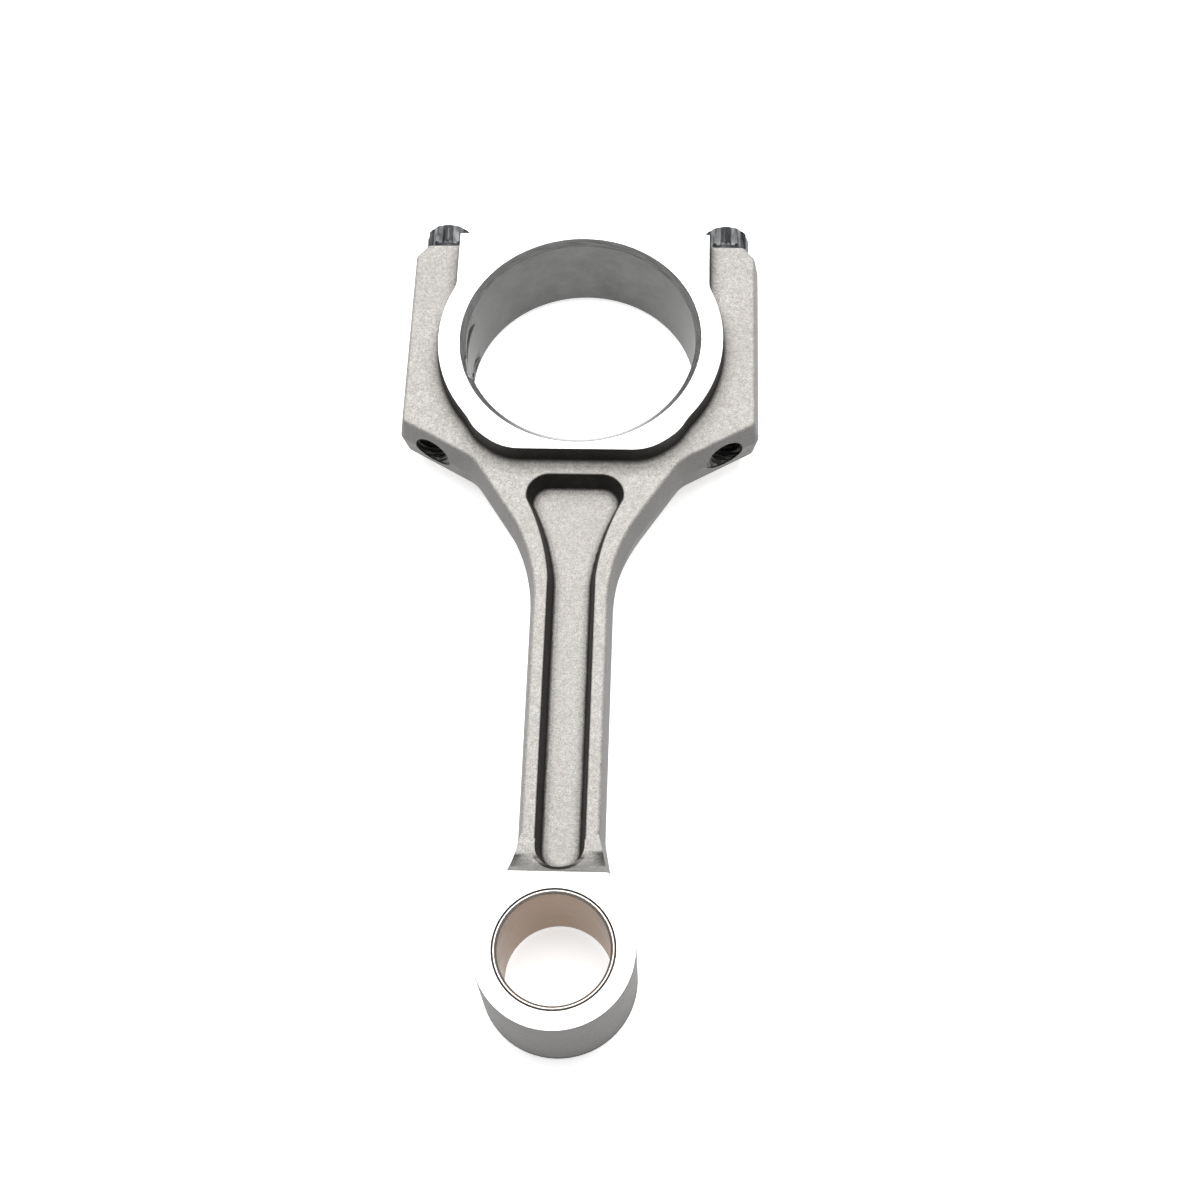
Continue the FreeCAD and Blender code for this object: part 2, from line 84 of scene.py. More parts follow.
# The notches for the bearing shells' tangs, in the bore's wall at -X.
NOTCH_DEPTH = 1.4
NOTCH_REACH_Y = 8.0
NOTCH_REACH_Z = 9.0

# M8 thread, with a little play between the bolt's and the rod's.
THREAD_PITCH = 1.25
THREAD_OUTER = 3.93
THREAD_INNER = 3.28
THREAD_PLAY = 0.055

# Which faces belong to a plane, an axis or a cylinder.
ON_PLANE = 0.05            # a face's centre lies this near to the plane it is on
ON_WALL = 0.15             # and this near to the cylinder it is on
ON_SEAT = 0.1              # and this near to a bolt's seat, its rounded edge included
SQUARE = 0.98              # cosine between a face's normal and the axis it is square to
CHAMFERED = 0.3            # least cosine between a chamfer's normal and the bore's axis

# Rims rounded or broken on the forgings: (width in millimetres, segments).
RIMS = {"pocket": (0.45, 3), "face": (0.16, 2)}


# ---------------------------------------------------------------- materials

class Nodes:
    """A material's node tree, with short calls for the nodes used here."""

    def __init__(self, name):
        self.material = bpy.data.materials.new(name)
        self.material.use_nodes = True
        self.tree = self.material.node_tree
        self.tree.nodes.clear()
        self.output = self.tree.nodes.new("ShaderNodeOutputMaterial")
        self.shader = self.tree.nodes.new("ShaderNodeBsdfPrincipled")
        self.tree.links.new(self.shader.outputs[0], self.output.inputs[0])
        coordinates = self.tree.nodes.new("ShaderNodeTexCoord")
        scale = self.node("ShaderNodeVectorMath", operation="SCALE")
        self.link(coordinates.outputs["Object"], scale, 0)
        scale.inputs["Scale"].default_value = 1 / MM
        self.place = scale.outputs[0]        # position in the part's frame, in millimetres
        self.normal = coordinates.outputs["Normal"]
        split = self.node("ShaderNodeSeparateXYZ")
        self.link(self.place, split, 0)
        self.x, self.y, self.z = split.outputs

    def node(self, kind, **settings):
        made = self.tree.nodes.new(kind)
        for key, value in settings.items():
            setattr(made, key, value)
        return made

    def link(self, source, node, socket):
        self.tree.links.new(source, node.inputs[socket])

    def feed(self, node, socket, value):
        if isinstance(value, bpy.types.NodeSocket):
            self.link(value, node, socket)
        else:
            node.inputs[socket].default_value = value

    def math(self, operation, a, b=0.0, c=None):
        made = self.node("ShaderNodeMath", operation=operation)
        self.feed(made, 0, a)
        self.feed(made, 1, b)
        if c is not None:
            self.feed(made, 2, c)
        return made.outputs[0]

    def noise(self, size, detail=2.0, roughness=0.5, stretch=None):
        """Noise with features of about `size` millimetres, about 0.5 on average."""
        made = self.node("ShaderNodeTexNoise")
        place = self.place
        if stretch:
            scaled = self.node("ShaderNodeVectorMath", operation="MULTIPLY")
            self.link(place, scaled, 0)
            scaled.inputs[1].default_value = stretch
            place = scaled.outputs[0]
        self.link(place, made, "Vector")
        made.inputs["Scale"].default_value = 1 / size
        made.inputs["Detail"].default_value = detail
        made.inputs["Roughness"].default_value = roughness
        return made.outputs[0]

    def cells(self, size):
        """Distance to the nearest of points scattered about `size` millimetres apart."""
        made = self.node("ShaderNodeTexVoronoi")
        self.link(self.place, made, "Vector")
        made.inputs["Scale"].default_value = 1 / size
        return made.outputs["Distance"]

    def lines(self, place, density):
        """Noise that changes along one value only, `density` lines or so to the millimetre."""
        along = self.node("ShaderNodeCombineXYZ")
        self.feed(along, 0, place)
        made = self.node("ShaderNodeTexNoise")
        self.link(along.outputs[0], made, "Vector")
        made.inputs["Scale"].default_value = density
        return made

    def ramp(self, value, low, high, start=0.0, end=1.0, smooth=False):
        """`start` up to `low`, `end` from `high` on, and in between in proportion."""
        made = self.node("ShaderNodeMapRange", clamp=True)
        if smooth:
            made.interpolation_type = "SMOOTHSTEP"
        self.feed(made, "Value", value)
        made.inputs["From Min"].default_value = low
        made.inputs["From Max"].default_value = high
        made.inputs["To Min"].default_value = start
        made.inputs["To Max"].default_value = end
        return made.outputs[0]

    def mix(self, factor, a, b, blend="MIX"):
        made = self.node("ShaderNodeMix", data_type="RGBA", blend_type=blend)
        self.feed(made, 0, factor)
        self.feed(made, 6, a)
        self.feed(made, 7, b)
        return made.outputs[2]

    def bump(self, height, distance, strength=1.0, normal=None):
        """Normal of a relief whose height of 1 stands `distance` millimetres high."""
        made = self.node("ShaderNodeBump")
        made.inputs["Strength"].default_value = strength
        made.inputs["Distance"].default_value = distance * MM
        self.link(height, made, "Height")
        if normal is not None:
            self.link(normal, made, "Normal")
        return made.outputs[0]

    def flatness(self):
        """1 on faces square to the bores' axis, 0 on faces along it."""
        facing = self.node("ShaderNodeSeparateXYZ")
        self.link(self.normal, facing, 0)
        return self.math("ABSOLUTE", facing.outputs[2])

    def occlusion(self, reach):
        """1 in the open, falling towards 0 in creases within `reach` millimetres."""
        made = self.node("ShaderNodeAmbientOcclusion", samples=8)
        made.inputs["Distance"].default_value = reach * MM
        return made.outputs["AO"]

    def finish(self, colour, roughness, metallic, normal=None):
        self.feed(self.shader, "Base Color", colour)
        self.feed(self.shader, "Roughness", roughness)
        self.shader.inputs["Metallic"].default_value = metallic
        if normal is not None:
            self.link(normal, self.shader, "Normal")
        return self.material


def rgb(r, g, b):
    return (r, g, b, 1.0)


def crack_line(n):
    """1 on the hair-thin wandering line where the cap was cracked off, 0 elsewhere."""
    wander = n.math("MULTIPLY_ADD", n.noise(1.6, 4.0, 0.6), 0.36, -0.18)
    away = n.math("ABSOLUTE", n.math("ADD", n.y, wander))
    return n.ramp(away, 0.02, 0.07, 1.0, 0.0)


def excess(n, value, limit, slope):
    """How far the value is past the limit, times the slope, and 0 before it."""
    past = n.math("MAXIMUM", n.math("SUBTRACT", value, limit), 0.0)
    return n.math("MULTIPLY", past, slope)


def pocket_mask(n):
    """1 inside the outline of the shank's pockets and on their walls, 0 outside."""
    flare = excess(n, n.y, POCKET_FLARE - 3.0, 0.36)
    rise = excess(n, n.math("ABSOLUTE", n.z), FLANGE_HALF, POCKET_DRAFT)
    wide = n.math("ADD", n.math("ADD", flare, rise), POCKET_HALF + 0.3)
    reach = n.math("MINIMUM", wide, POCKET_REACH)
    past_end = n.math("MINIMUM", n.math("SUBTRACT", n.y, POCKET_END), 0.0)
    squares = n.math("ADD", n.math("POWER", n.x, 2.0), n.math("POWER", past_end, 2.0))
    inside = n.math("LESS_THAN", n.math("SQRT", squares), reach)
    return n.math("MULTIPLY", inside, n.math("LESS_THAN", n.y, POCKET_TOP + 0.8))


def step_mask(n):
    """1 on what stands above the ears and shoulders around the crankpin bore, 0 elsewhere."""
    raised = n.math("GREATER_THAN", n.math("ABSOLUTE", n.z), FLANGE_HALF + 0.15)
    above = n.math("GREATER_THAN", n.y, POCKET_TOP + 0.85)
    below = n.math("LESS_THAN", n.y, SEAT_Y - 0.3)
    return n.math("MULTIPLY", raised, n.math("MULTIPLY", above, below))


def forged_steel():
    """Shot-blasted forging: fine dimples and faint tints; painted shade on the upright sides, dark
    scale with painted shade on the pocket and step walls, and painted shade in creases.
    """
    n = Nodes("forged_steel_blasted")
    dimples = n.cells(0.5)
    grit = n.noise(0.30, 4.0, 0.7)
    lumps = n.noise(2.6, 3.0, 0.6)
    patches = n.noise(11.0, 4.0, 0.6)
    tinted = n.ramp(n.noise(1.1, 3.0, 0.6), 0.40, 0.60)
    tint = n.mix(tinted, rgb(0.40, 0.377, 0.369), rgb(0.392, 0.389, 0.362))
    light = n.mix(n.ramp(grit, 0.36, 0.64), rgb(0.63, 0.62, 0.61), rgb(1.32, 1.32, 1.32))
    colour = n.mix(1.0, tint, light, "MULTIPLY")
    mottle = n.ramp(n.noise(0.85, 2.0, 0.6), 0.38, 0.62)
    mottled = n.mix(mottle, rgb(0.90, 0.90, 0.90), rgb(1.10, 1.10, 1.10))
    colour = n.mix(1.0, colour, mottled, "MULTIPLY")
    colour = n.mix(n.ramp(patches, 0.46, 0.70, 0.0, 0.30), colour, rgb(0.31, 0.293, 0.282))
    pits = n.ramp(n.cells(1.35), 0.03, 0.20, 1.0, 0.0)
    colour = n.mix(n.math("MULTIPLY", pits, 0.45), colour, rgb(0.15, 0.14, 0.13))
    specks = n.ramp(n.cells(7.3), 0.0, 0.045, 1.0, 0.0)
    colour = n.mix(n.math("MULTIPLY", specks, 0.7), colour, rgb(0.06, 0.05, 0.045))
    flatness = n.flatness()
    # Painted shade: the upright sides are coloured darker than the faces square to the bores' axis.
    upright_shade = n.ramp(flatness, 0.25, 0.9, 0.80, 0.0)
    colour = n.mix(upright_shade, colour, rgb(0.082, 0.080, 0.077))
    # Dark scale with painted shade: the pocket and step walls are coloured nearly black, partly as
    # forging scale and partly for the shade on them.
    pocket_walls = n.math("MULTIPLY", n.ramp(flatness, 0.62, 0.97, 1.0, 0.0), pocket_mask(n))
    step_walls = n.math("MULTIPLY", n.ramp(flatness, 0.45, 0.80, 1.0, 0.0), step_mask(n))
    worn = n.ramp(n.noise(2.4, 4.0, 0.6), 0.5, 0.75)
    scale = n.mix(worn, rgb(0.013, 0.012, 0.010), rgb(0.030, 0.028, 0.026))
    colour = n.mix(n.math("MAXIMUM", pocket_walls, step_walls), colour, scale)
    # Painted shade: creases within 2.2 mm of other surfaces are darkened nearly to black, frayed by
    # noise.
    crease = n.ramp(n.occlusion(2.2), 0.64, 0.94, 1.0, 0.0, smooth=True)
    fray = n.math("MULTIPLY", n.noise(0.8, 3.0), 0.35)
    ragged = n.ramp(n.math("ADD", crease, fray), 0.22, 1.1)
    colour = n.mix(n.math("MULTIPLY", ragged, 0.95), colour, rgb(0.015, 0.013, 0.011))
    colour = n.mix(n.math("MULTIPLY", crack_line(n), 0.25), colour, rgb(0.05, 0.045, 0.04))
    height = n.math("ADD", n.math("MULTIPLY", dimples, 0.5), n.math("MULTIPLY", grit, 0.9))
    normal = n.bump(height, 0.07, 0.9)
    normal = n.bump(lumps, 0.25, 0.6, normal)
    return n.finish(colour, n.ramp(grit, 0.3, 0.7, 0.50, 0.68), 0.35, normal)


def milled_steel():
    """Ground end faces: bright, with long fine grinding marks."""
    n = Nodes("forged_steel_milled")
    turned = n.node("ShaderNodeVectorMath", operation="DISTANCE")
    n.link(n.place, turned, 0)
    turned.inputs[1].default_value = (60.0, -70.0, 0.0)      # axis of the grinding table
    grind = n.lines(turned.outputs["Value"], 5.0)
    grind.inputs["Detail"].default_value = 3.0
    marks = grind.outputs[0]
    bloom = n.noise(9.0, 3.0)
    colour = n.mix(n.ramp(marks, 0.3, 0.7), rgb(0.64, 0.64, 0.635), rgb(0.80, 0.80, 0.795))
    colour = n.mix(n.ramp(bloom, 0.50, 0.72, 0.0, 0.55), colour, rgb(0.50, 0.497, 0.485))
    colour = n.mix(n.math("MULTIPLY", crack_line(n), 0.5), colour, rgb(0.12, 0.115, 0.11))
    normal = n.bump(marks, 0.01, 0.4, n.bump(n.noise(0.5, 2.0), 0.006, 0.5))
    return n.finish(colour, n.ramp(marks, 0.3, 0.7, 0.30, 0.42), 0.9, normal)


def chamfer_steel():
    """Turned lead-in chamfers of the crankpin bore, ringed by the tool."""
    n = Nodes("forged_steel_turned")
    rings = n.noise(0.2, 2.0, 0.5, stretch=(0.05, 0.05, 1.0))
    colour = n.mix(n.ramp(rings, 0.3, 0.7), rgb(0.40, 0.40, 0.395), rgb(0.62, 0.62, 0.61))
    return n.finish(colour, 0.24, 0.9, n.bump(rings, 0.01, 0.4))


def bored_steel():
    """Honed crankpin bore, the eye's bore and the bolt seats: mid grey, with crossed scratches."""
    n = Nodes("forged_steel_honed")
    around = n.math("MULTIPLY", n.math("ARCTAN2", n.y, n.x), CRANK_BORE)
    scratches = []
    for slant in (0.55, -0.55):
        run = n.math("ADD", n.z, n.math("MULTIPLY", around, slant))
        scratches.append(n.lines(run, 5.5).outputs[0])
    hatch = n.math("MULTIPLY", n.math("ADD", *scratches), 0.5)
    cloud = n.noise(7.0, 4.0, 0.6)
    colour = n.mix(n.ramp(cloud, 0.35, 0.7), rgb(0.095, 0.095, 0.093), rgb(0.150, 0.149, 0.146))
    colour = n.mix(n.ramp(hatch, 0.52, 0.66, 0.0, 0.35), colour, rgb(0.32, 0.32, 0.31))
    colour = n.mix(n.math("MULTIPLY", crack_line(n), 0.5), colour, rgb(0.04, 0.04, 0.04))
    normal = n.bump(hatch, 0.012, 0.7, n.bump(n.noise(0.6, 2.0), 0.01, 0.6))
    return n.finish(colour, n.ramp(cloud, 0.3, 0.7, 0.34, 0.46), 0.85, normal)


def hole_steel():
    """Drilled and tapped holes: dark, ringed by the drill."""
    n = Nodes("forged_steel_drilled")
    rings = n.noise(0.5, 2.0, 0.5, stretch=(0.2, 1.6, 0.2))
    colour = n.mix(n.ramp(rings, 0.35, 0.65), rgb(0.035, 0.034, 0.033), rgb(0.10, 0.098, 0.095))
    return n.finish(colour, 0.42, 0.8, n.bump(rings, 0.03, 0.7))


def cracked_steel():
    """Fracture faces between rod and cap: coarse bright crystalline grain."""
    n = Nodes("forged_steel_fracture")
    grain = n.cells(0.7)
    hills = n.noise(2.6, 5.0, 0.65)
    colour = n.mix(n.ramp(grain, 0.1, 0.6), rgb(0.20, 0.195, 0.19), rgb(0.42, 0.415, 0.40))
    normal = n.bump(grain, 0.25, 0.8, n.bump(hills, 0.5, 0.9))
    return n.finish(colour, n.ramp(hills, 0.3, 0.7, 0.38, 0.6), 0.75, normal)


def bronze():
    """Finely bored bronze: warm brown, with the boring tool's feed rings."""
    n = Nodes("bronze_bored")
    feed = n.noise(0.22, 1.0, 0.5, stretch=(0.02, 0.02, 1.0))
    cloud = n.noise(4.5, 4.0, 0.6)
    colour = n.mix(n.ramp(cloud, 0.35, 0.7), rgb(0.27, 0.180, 0.115), rgb(0.35, 0.240, 0.160))
    colour = n.mix(n.ramp(feed, 0.4, 0.62, 0.0, 0.35), colour, rgb(0.21, 0.138, 0.090))
    normal = n.bump(feed, 0.015, 0.7, n.bump(n.noise(0.4, 2.0), 0.008, 0.5))
    return n.finish(colour, n.ramp(cloud, 0.3, 0.7, 0.30, 0.42), 0.85, normal)


def ground_bronze():
    """End face of the bush, ground flush with the eye, and its chamfer."""
    n = Nodes("bronze_ground")
    rub = n.noise(0.7, 3.0, 0.6)
    colour = n.mix(n.ramp(rub, 0.3, 0.7), rgb(0.46, 0.42, 0.38), rgb(0.66, 0.62, 0.57))
    return n.finish(colour, 0.3, 0.9, n.bump(rub, 0.01, 0.5))


def bolt_steel():
    """Black phosphate over rolled steel, with lighter streaks along the bolt, and painted shade
    under the head and in creases.
    """
    n = Nodes("bolt_steel_phosphate")
    coat = n.noise(0.5, 4.0, 0.6)
    streak = n.noise(1.4, 3.0, 0.6, stretch=(1.0, 0.35, 1.0))
    colour = n.mix(n.ramp(streak, 0.35, 0.7), rgb(0.045, 0.047, 0.050), rgb(0.17, 0.174, 0.178))
    # Painted shade: the washer face under the head is coloured nearly black, as if in the head's
    # shadow.
    skirt_shade = n.ramp(n.y, SEAT_Y + 1.1, SEAT_Y + 1.9, 1.0, 0.0)
    colour = n.mix(n.math("MULTIPLY", skirt_shade, 0.8), colour, rgb(0.012, 0.012, 0.013))
    # Painted shade: creases within 1.2 mm are darkened nearly to black.
    crease = n.ramp(n.occlusion(1.2), 0.35, 0.85, 1.0, 0.0)
    colour = n.mix(n.math("MULTIPLY", crease, 0.85), colour, rgb(0.015, 0.015, 0.016))
    normal = n.bump(coat, 0.03, 0.6)
    return n.finish(colour, n.ramp(coat, 0.3, 0.7, 0.30, 0.46), 0.85, normal)


# ------------------------------------------------------------------ meshes

def new_piece(name, mesh, body, replaced=()):
    piece = bpy.data.objects.new(name, mesh)
    bpy.context.scene.collection.objects.link(piece)
    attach(piece, body)
    if replaced:
        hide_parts(*replaced)
    return piece


def smooth_above(mesh, degrees):
    """Smooth shading, with the edges sharper than the angle left sharp."""
    mesh.polygons.foreach_set("use_smooth", [True] * len(mesh.polygons))
    mesh.set_sharp_from_angle(angle=math.radians(degrees))


def face_kind(centre, normal):
    """Which of the forging's finishes a face has, from where it lies, in millimetres."""
    x, y, z = centre
    flat = abs(normal.z)
    from_crank = math.hypot(x, y)
    from_eye = math.hypot(x, y - EYE_Y)
    from_bolt = math.hypot(abs(x) - BOLT_X, z)
    if abs(y) < ON_PLANE and abs(normal.y) > SQUARE:
        return "cracked"
    if abs(z) > END_HALF - ON_PLANE and flat > SQUARE:
        return "milled"
    if from_bolt < BOLT_HOLE * 1.1 and abs(normal.y) < 0.6 and SHOULDER_Y < y < SEAT_Y:
        return "drilled"
    at_mouth = abs(z) > END_HALF - CRANK_CHAMFER - 0.1
    if from_crank < CRANK_BORE + CRANK_CHAMFER + ON_WALL and flat > CHAMFERED and at_mouth:
        return "chamfer"
    in_notch = x < 0 and abs(y) < NOTCH_REACH_Y and abs(z) < NOTCH_REACH_Z
    if from_crank < CRANK_BORE + (NOTCH_DEPTH if in_notch else ON_WALL):
        return "honed"
    if from_eye < EYE_BORE + ON_WALL or (abs(y - SEAT_Y) < ON_SEAT and normal.y > 0.5):
        return "honed"
    return "forged"


def in_pocket(x, y, rise):
    """True inside the outline of the shank's pocket, which widens with the rise of its walls."""
    reach = POCKET_HALF + POCKET_DRAFT * rise
    if y > POCKET_END:
        widening = 0.30 * max(0.0, y - POCKET_FLARE)
        return y < POCKET_TOP + 0.6 and abs(x) < min(POCKET_REACH, reach + widening)
    return math.hypot(x, y - POCKET_END) < reach


def is_rim(edge):
    """Which kind of rim a sharp edge is: of a machined face, of a pocket, or None."""
    if len(edge.link_faces) != 2 or edge.calc_face_angle() < math.radians(25):
        return None
    x, y, z = (edge.verts[0].co + edge.verts[1].co) / 2 / MM
    if abs(z) > END_HALF - 0.01 and abs(y) > 0.6:
        return "face"
    on_flange = abs(abs(z) - FLANGE_HALF) < 0.02
    if on_flange and y > POCKET_END + 3 and in_pocket(x, y - 0.5, 0.4):
        return "pocket"
    return None


def face_key(face):
    """Number that orders faces by their lowest vertices, so that every run gives the same order."""
    low, middle, high = sorted(vert.index for vert in face.verts)[:3]
    return (low * 1e5 + middle) * 1e5 + high


def forging_piece(name, node, body, finishes):
    """Copy of a forged node with its tessellation cleaned, edges broken and finishes set."""
    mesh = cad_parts[node].data.copy()
    mesh.name = name
    work = bmesh.new()
    work.from_mesh(mesh)
    bmesh.ops.remove_doubles(work, verts=work.verts, dist=1e-6)
    bmesh.ops.dissolve_limit(work, angle_limit=math.radians(0.3),
                             verts=work.verts, edges=work.edges)
    for kind, (width, segments) in RIMS.items():
        rims = [edge for edge in work.edges if is_rim(edge) == kind]
        if rims:
            bmesh.ops.bevel(work, geom=rims, offset=width * MM, segments=segments, profile=0.5,
                            affect="EDGES", clamp_overlap=False, loop_slide=True)
    work.normal_update()
    work.verts.index_update()
    work.faces.sort(key=face_key)
    order = list(finishes)
    for face in work.faces:
        kind = face_kind(face.calc_center_median() / MM, face.normal)
        face.material_index = order.index(kind)
    mesh.materials.clear()
    for kind in order:
        mesh.materials.append(finishes[kind])
    work.to_mesh(mesh)
    work.free()
    smooth_above(mesh, 32)
    piece = new_piece(name, mesh, body, (node,))
    weighted = piece.modifiers.new("flat_faces", "WEIGHTED_NORMAL")
    weighted.keep_sharp = True
    weighted.weight = 100
    return piece


def ring_points(radius, y, around):
    """Ring of points about the Y axis; the radius is a number or a function of the angle."""
    row = []
    for step in range(around):
        angle = math.tau * step / around
        size = radius(angle) if callable(radius) else radius
        row.append((size * math.cos(angle), y, size * math.sin(angle)))
    return row


def grid_mesh(name, rows, shift, pointed_ends=True):
    """Closed skin through rings of points, in millimetres, moved by `shift`.

    It ends in a point at each end, or its last ring is joined to its first.
    """
    around = len(rows[0])
    points = [point for row in rows for point in row]
    faces = []
    for level in range(len(rows) - 1):
        for step in range(around):
            here = level * around + step
            side = level * around + (step + 1) % around
            faces.append((here, side, side + around, here + around))
    if pointed_ends:
        for level, flip in ((0, True), (len(rows) - 1, False)):
            ring = list(range(level * around, (level + 1) * around))
            middle = [sum(points[i][k] for i in ring) / around for k in range(3)]
            points.append(tuple(middle))
            centre = len(points) - 1
            for step in range(around):
                a, b = ring[step], ring[(step + 1) % around]
                faces.append((centre, b, a) if flip else (centre, a, b))
    else:
        last = (len(rows) - 1) * around
        for step in range(around):
            side = (step + 1) % around
            faces.append((last + step, last + side, side, step))
    mesh = bpy.data.meshes.new(name)
    corners = [tuple((point[k] + shift[k]) * MM for k in range(3)) for point in points]
    mesh.from_pydata(corners, [], faces)
    mesh.validate()
    work = bmesh.new()
    work.from_mesh(mesh)
    bmesh.ops.recalc_face_normals(work, faces=work.faces)
    work.to_mesh(mesh)
    work.free()
    return mesh


def thread_radius(angle, y):
    """Radius of a right-hand thread about the Y axis."""
    phase = (y / THREAD_PITCH + angle / math.tau) % 1.0
    rise = abs(2 * phase - 1)
    height = min(1.0, max(0.0, (rise - 0.18) / 0.66))        # flat root, flank, flat crest
    return THREAD_INNER + (THREAD_OUTER - THREAD_INNER) * height


def twelve_point(angle, across):
    """Radius of two crossed hexagons whose flats lie `across` from the axis."""
    sixth = math.pi / 3
    one = across / math.cos((angle + sixth / 2) % sixth - sixth / 2)
    other = across / math.cos(angle % sixth - sixth / 2)
    return max(one, other)


def bolt_piece(name, node, body, side, finish):
    """Cap bolt: rolled thread, waisted shank, guide land, washer face and 12-point head."""
    around = 144
    low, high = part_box(node)
    tip, top = low.y / MM, high.y / MM
    flange_y = SEAT_Y + 1.5
    waist, land, across = 3.45, 3.95, 4.72
    thread_end, land_y = -1.0, 22.0
    rows = []

    def ring(y, radius):
        rows.append(ring_points(radius, y, around))

    def head_ring(y, widest, inset=0.0):
        ring(y, lambda angle: min(twelve_point(angle, across) - inset, widest))

    levels = int((thread_end - tip) / THREAD_PITCH * 10)
    for level in range(levels + 1):
        y = tip + (thread_end - tip) * level / levels
        lead = THREAD_INNER - 0.35 + (y - tip) * 1.2
        runout = waist + (thread_end - y) * 0.5
        ring(y, lambda angle: min(thread_radius(angle, y), lead, max(runout, waist)))
    ring(0.4, waist)
    ring(land_y - 1.0, waist)
    ring(land_y - 0.6, waist + 0.12)
    ring(land_y, land)
    ring(SEAT_Y - 0.1, land)
    ring(SEAT_Y + 0.02, 5.25)
    ring(SEAT_Y + 0.22, 5.62)
    ring(SEAT_Y + 0.38, 5.69)
    ring(flange_y - 0.25, 5.69)
    ring(flange_y - 0.05, 5.55)
    ring(flange_y + 0.55, 4.95)
    head_ring(flange_y + 0.62, 4.96, inset=0.02)
    head_ring(flange_y + 0.95, 5.2)
    head_ring(flange_y + 1.1, 5.44)
    head_ring(top - 0.75, 5.44)
    head_ring(top - 0.35, 5.12)
    ring(top - 0.08, 4.72)
    ring(top - 0.02, 4.5)
    ring(top - 0.02, 3.1)
    ring(top - 0.5, 2.7)
    ring(top - 0.85, 1.2)
    ring(top - 0.9, 0.3)
    mesh = grid_mesh(name, rows, (side * BOLT_X, 0, 0))
    mesh.materials.append(finish)
    smooth_above(mesh, 30)
    return new_piece(name, mesh, body, (node,))


def shoulder_heights(side, angles):
    """Where the bolt hole opens through the rod's slanting shoulder, at each angle."""
    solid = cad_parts["rod_body"].data
    tree = BVHTree.FromPolygons([v.co for v in solid.vertices],
                                [p.vertices for p in solid.polygons])
    beside = BOLT_HOLE + 0.12
    heights = []
    for angle in angles:
        start = Vector((side * BOLT_X + beside * math.cos(angle), -6.0, beside * math.sin(angle)))
        hit = tree.ray_cast(start * MM, Vector((0, -1, 0)))
        heights.append(hit[0].y / MM)
    return heights


def thread_piece(name, side, finish):
    """Tapped thread of the rod, from just below the joint down to the slanting shoulder."""
    around, levels = 96, 130
    start_y = -0.5
    root, wall = BOLT_HOLE - 0.015, BOLT_HOLE - 0.005
    angles = [math.tau * step / around for step in range(around)]
    ends = [height + 0.35 for height in shoulder_heights(side, angles)]

    def tapped(angle, y, end):
        """Radius of the thread, which runs out at both ends."""
        run_out = root - min(start_y - y, y - end) * 1.1
        return min(root, max(thread_radius(angle, y) + THREAD_PLAY, run_out))

    def ring(part, radius):
        row = []
        for angle, end in zip(angles, ends):
            y = start_y + (end - start_y) * part
            size = radius(angle, y, end)
            row.append((size * math.cos(angle), y, size * math.sin(angle)))
        return row

    rows = [ring(level / levels, tapped) for level in range(levels + 1)]
    rows += [ring(part, lambda angle, y, end: wall) for part in (1.0, 0.0)]
    mesh = grid_mesh(name, rows, (side * BOLT_X, 0, 0), pointed_ends=False)
    mesh.materials.append(finish)
    smooth_above(mesh, 40)
    return new_piece(name, mesh, "rod")


def bush_piece(name, node, finish, ground):
    """Bronze bush: chamfered inside, and broken outside so that a fine seam rings it."""
    around = 256
    end = [
        (BUSH_BORE, 10.9), (BUSH_BORE + 0.08, 11.02), (BUSH_BORE + 0.40, 11.33),
        (BUSH_BORE + 0.48, 11.385), (11.66, 11.385), (11.80, 11.28), (11.96, 11.02),
        (11.99, 10.8),
    ]
    profile = [(BUSH_BORE, -10.9), (BUSH_BORE, 0.0)] + end
    profile += [(radius, -z) for radius, z in reversed(end[1:])]
    angles = [math.tau * step / around for step in range(around)]
    rows = []
    for radius, z in profile:
        rows.append([(radius * math.cos(angle), radius * math.sin(angle), z) for angle in angles])
    mesh = grid_mesh(name, rows, (0, EYE_Y, 0), pointed_ends=False)
    mesh.materials.append(finish)
    mesh.materials.append(ground)
    for face in mesh.polygons:
        face.material_index = int(abs(face.center.z) > 10.95 * MM)
    smooth_above(mesh, 30)
    return new_piece(name, mesh, "rod", (node,))


# ------------------------------------------------------------------ studio

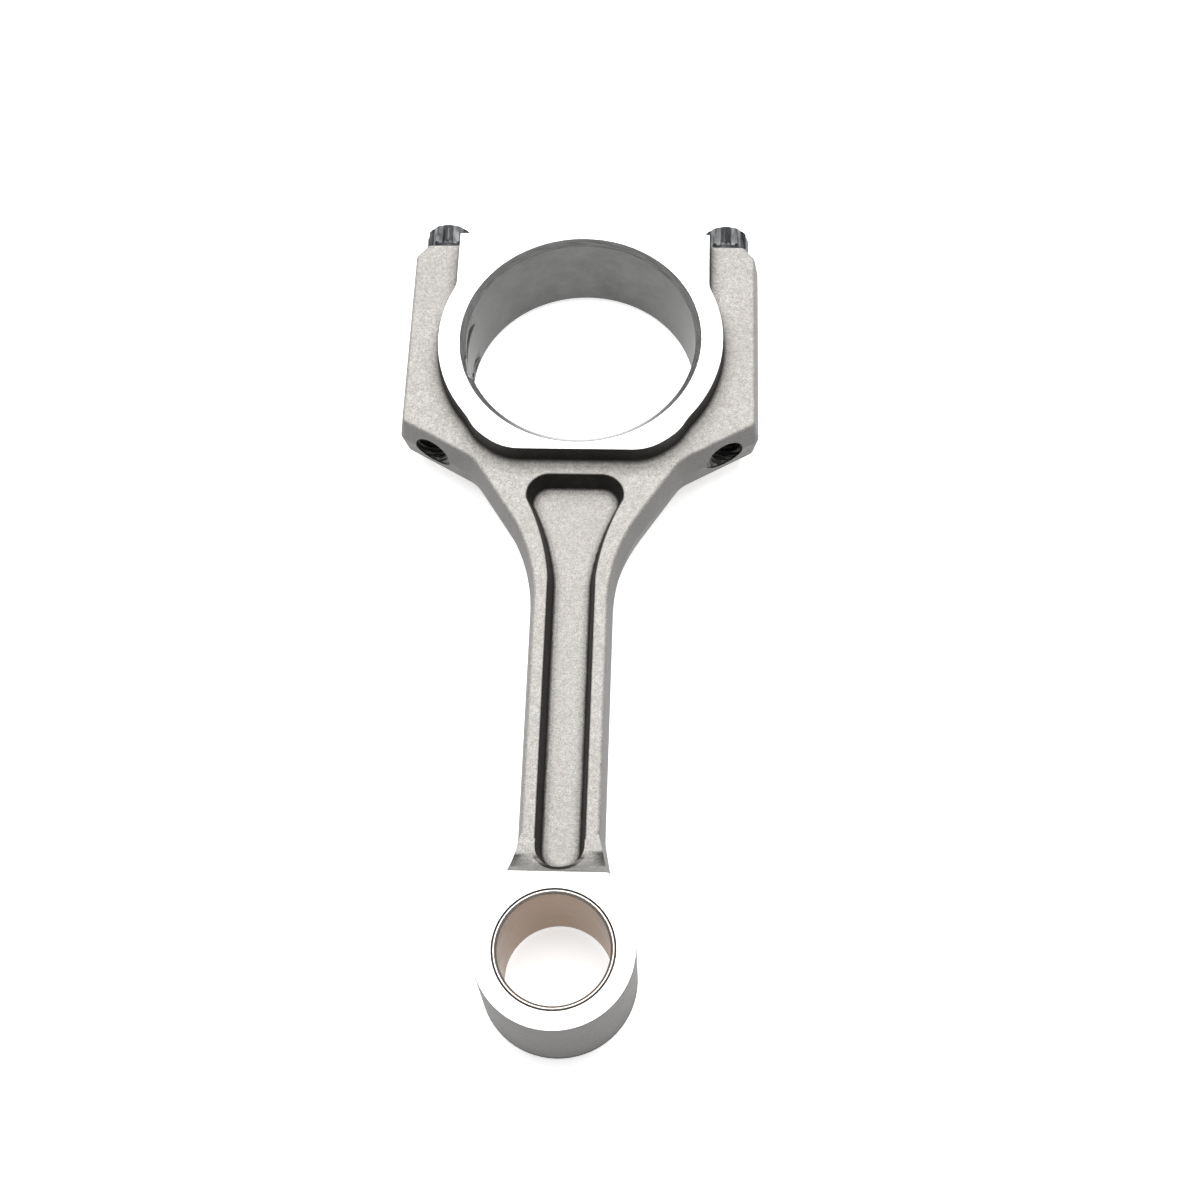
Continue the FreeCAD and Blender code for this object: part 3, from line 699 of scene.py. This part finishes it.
def floor_plane(height):
    """White paper under the object, which glows a little so that no shadow on it is dark."""
    mesh = bpy.data.meshes.new("floor")
    half = 4.0
    corners = [(side_x * half, side_y * half, height)
               for side_x, side_y in ((-1, -1), (1, -1), (1, 1), (-1, 1))]
    mesh.from_pydata(corners, [], [(0, 1, 2, 3)])
    floor = bpy.data.objects.new("floor", mesh)
    bpy.context.scene.collection.objects.link(floor)
    n = Nodes("floor_paper")
    paper = n.mix(n.noise(40.0, 2.0), rgb(0.93, 0.93, 0.93), rgb(0.95, 0.95, 0.95))
    n.shader.inputs["Emission Color"].default_value = rgb(1, 1, 1)
    n.shader.inputs["Emission Strength"].default_value = 0.60
    mesh.materials.append(n.finish(paper, 0.9, 0.0))


def area_light(name, place, aim, size, power):
    light = bpy.data.lights.new(name, "AREA")
    light.shape = "RECTANGLE"
    light.size, light.size_y = size
    light.energy = power
    lamp = bpy.data.objects.new(name, light)
    lamp.location = place
    lamp.rotation_euler = (Vector(aim) - Vector(place)).to_track_quat("-Z", "Y").to_euler()
    bpy.context.scene.collection.objects.link(lamp)


def studio():
    """Dim white surroundings and one large soft light above and a little behind the object."""
    world = bpy.data.worlds.new("studio")
    world.use_nodes = True
    backdrop = world.node_tree.nodes["Background"]
    backdrop.inputs[0].default_value = (1.0, 1.0, 1.0, 1.0)
    backdrop.inputs[1].default_value = 0.22
    bpy.context.scene.world = world
    middle = (0, -0.06, 0)
    area_light("overhead", (0.0, 0.20, 0.78), middle, (1.1, 0.8), 13.0)
    bpy.context.scene.view_settings.view_transform = "Standard"
    bpy.context.scene.view_settings.look = "None"
    bpy.context.scene.view_settings.exposure = 0.0


def camera():
    """Long-lens view from above the piston-pin end, which is nearest."""
    data = bpy.data.cameras.new("camera")
    data.lens = 57.56
    data.sensor_width = 36.0
    data.clip_start = 0.01
    view = bpy.data.objects.new("camera", data)
    view.location = (0.02330, -0.24175, 0.37023)
    view.rotation_euler = (0.457546, 0.030829, 0.032277)
    bpy.context.scene.collection.objects.link(view)
    bpy.context.scene.camera = view


# ------------------------------------------------------------------- scene

finishes = {
    "forged": forged_steel(),
    "milled": milled_steel(),
    "chamfer": chamfer_steel(),
    "honed": bored_steel(),
    "drilled": hole_steel(),
    "cracked": cracked_steel(),
}
forging_piece("rod_forging", "rod_body", "rod", finishes)
forging_piece("cap_forging", "rod_cap", "cap", finishes)
bush_piece("pin_bush", "small_end_bush", bronze(), ground_bronze())
phosphate = bolt_steel()
for label, side in (("left", -1), ("right", 1)):
    bolt_piece(f"{label}_bolt", f"{label}_cap_bolt", f"{label}_bolt", side, phosphate)
    thread_piece(f"{label}_tapped_thread", side, finishes["drilled"])
floor_plane(cad_box[0].z)
studio()
camera()
